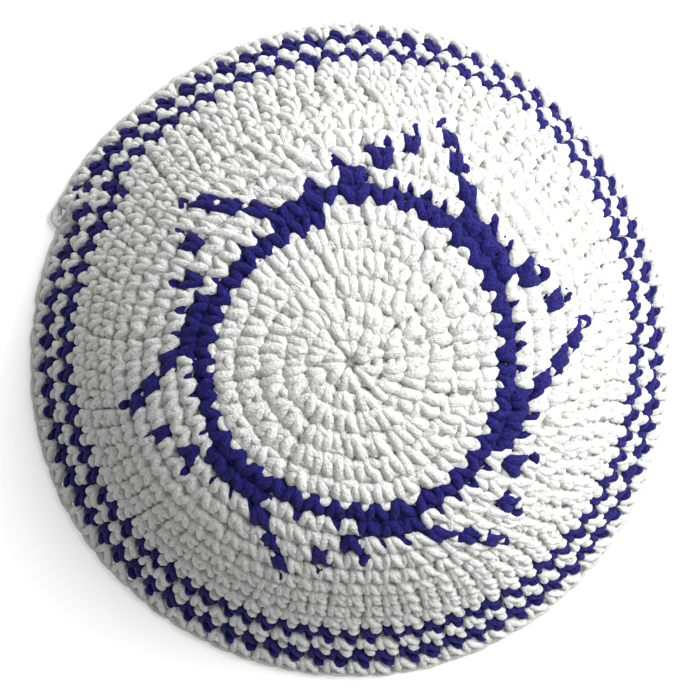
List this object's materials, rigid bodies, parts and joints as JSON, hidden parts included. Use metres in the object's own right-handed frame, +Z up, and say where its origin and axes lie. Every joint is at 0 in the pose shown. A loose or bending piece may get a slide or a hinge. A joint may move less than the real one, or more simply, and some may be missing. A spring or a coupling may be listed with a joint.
{
  "type": "crocheted kippah skullcap",
  "caption": "Round crocheted skullcap in white yarn with a blue ring, a pinwheel star and a striped border, domed and open below.",
  "frame": {"origin": "middle of the cap's outline seen from above, on the surface that its rim rests on", "axes": "+Z up through the crown, +Y towards the top of the view from above, +X to its right"},
  "size_m": [0.1688, 0.174, 0.053],
  "materials": {
    "white_yarn": "matte cotton yarn in single crochet",
    "blue_yarn": "matte royal blue cotton yarn in single crochet"
  },
  "bodies": {
    "root": {"crown": "white_yarn", "blue_ring": "blue_yarn", "star_band": "white_yarn", "side_band": "white_yarn", "border_inner": "blue_yarn", "border_middle": "white_yarn", "border_outer": "blue_yarn", "edging": "white_yarn"}
  },
  "joints": []
}
